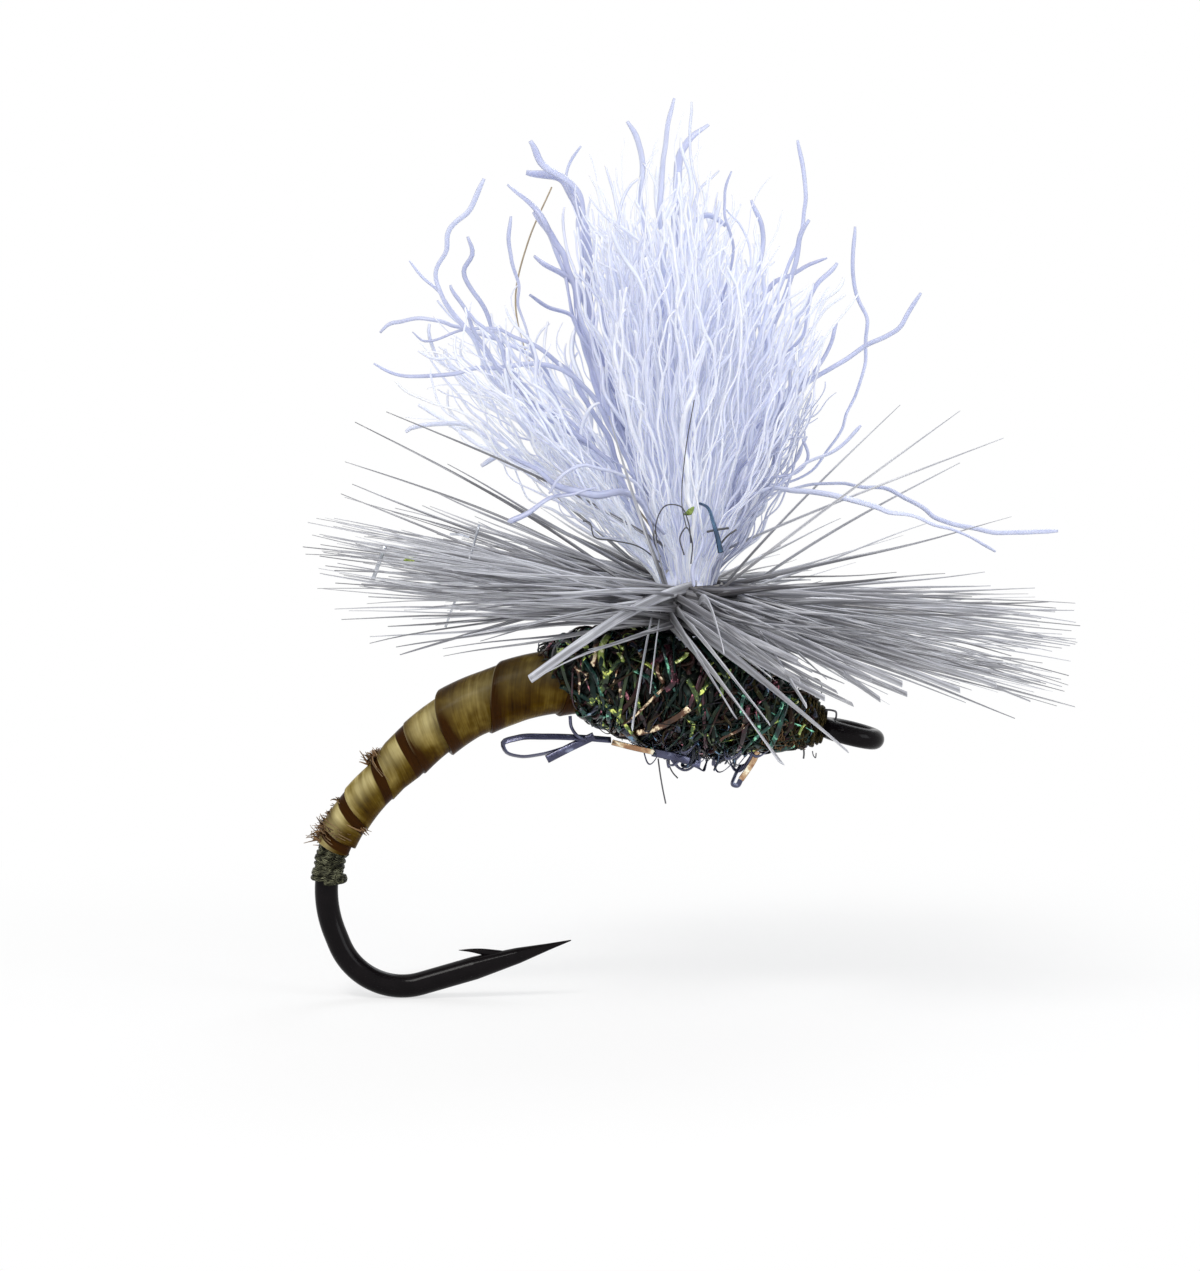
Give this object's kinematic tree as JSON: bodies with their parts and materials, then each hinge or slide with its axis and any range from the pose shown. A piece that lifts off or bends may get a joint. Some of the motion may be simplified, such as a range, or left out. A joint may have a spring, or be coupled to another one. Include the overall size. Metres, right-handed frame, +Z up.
{
  "type": "dry fly",
  "caption": "Parachute dry fly on a barbed curved hook, with an upright yarn wing, a hackle wound round its post, a dubbed thorax and a wrapped biot body.",
  "frame": {"origin": "centre of the hook's eye", "axes": "+X forwards past the eye, +Z up with the wing upright and the bend of the hook below, so that the front shank falls 13.5 degrees towards the eye"},
  "size_m": [0.0159, 0.0165, 0.019],
  "materials": {
    "black_nickel_wire": "black nickel plating, glossy",
    "olive_thread": "waxed tying thread",
    "dark_olive_thread": "waxed tying thread",
    "white_yarn": "crinkled yarn, soft sheen",
    "olive_gold_biot": "glossy horn-like biot",
    "brown_biot_edge": "torn biot edge",
    "black_thread": "waxed tying thread",
    "grey_quill": "feather stem",
    "dark_quill": "cut feather stem",
    "tan_fibre": "fine hair",
    "dark_fibre": "fine hair",
    "blue_flash": "metallised film",
    "peacock_dubbing": "spun synthetic dubbing",
    "green_flash": "metallised film",
    "copper_flash": "metallised film",
    "head_thread": "waxed tying thread",
    "dun_barb": "light dun hackle, satin"
  },
  "bodies": {
    "root": {"abdomen_biot": "olive_gold_biot", "biot_butt_tag": "olive_gold_biot", "biot_torn_flaps": "brown_biot_edge", "butt_binding_thread": "olive_thread", "dark_hair": "dark_fibre", "flash_loop": "blue_flash", "hackle_barbs_turn_1": "dun_barb", "hackle_barbs_turn_2": "dun_barb", "hackle_barbs_turn_3": "dun_barb", "hackle_barbs_turn_4": "dun_barb", "hackle_barbs_turn_5": "dun_barb", "hackle_flash_bits": "green_flash", "hackle_quill": "grey_quill", "hackle_quill_stub": "dark_quill", "hackle_tie_off_wraps": "black_thread", "hanging_tinsel": "copper_flash", "head_thread_loops": "dark_fibre", "head_thread_tags": "head_thread", "head_thread_wraps": "head_thread", "hook": "black_nickel_wire", "post_flash": "blue_flash", "post_thread_loops": "dark_fibre", "post_thread_wraps": "black_thread", "rear_thread_collar": "dark_olive_thread", "shank_thread_base": "olive_thread", "tan_guard_fibre": "tan_fibre", "thorax_dubbing_front": "peacock_dubbing", "thorax_dubbing_rear": "peacock_dubbing", "thorax_flash_ribbons": "green_flash", "trailing_threads": "dark_fibre", "wing_fibres_front": "white_yarn", "wing_fibres_middle": "white_yarn", "wing_fibres_rear": "white_yarn", "wing_post": "white_yarn", "wing_stray_fibres": "white_yarn", "wing_tie_in_wraps": "olive_thread", "wing_yarn_butt": "white_yarn"}
  },
  "joints": []
}
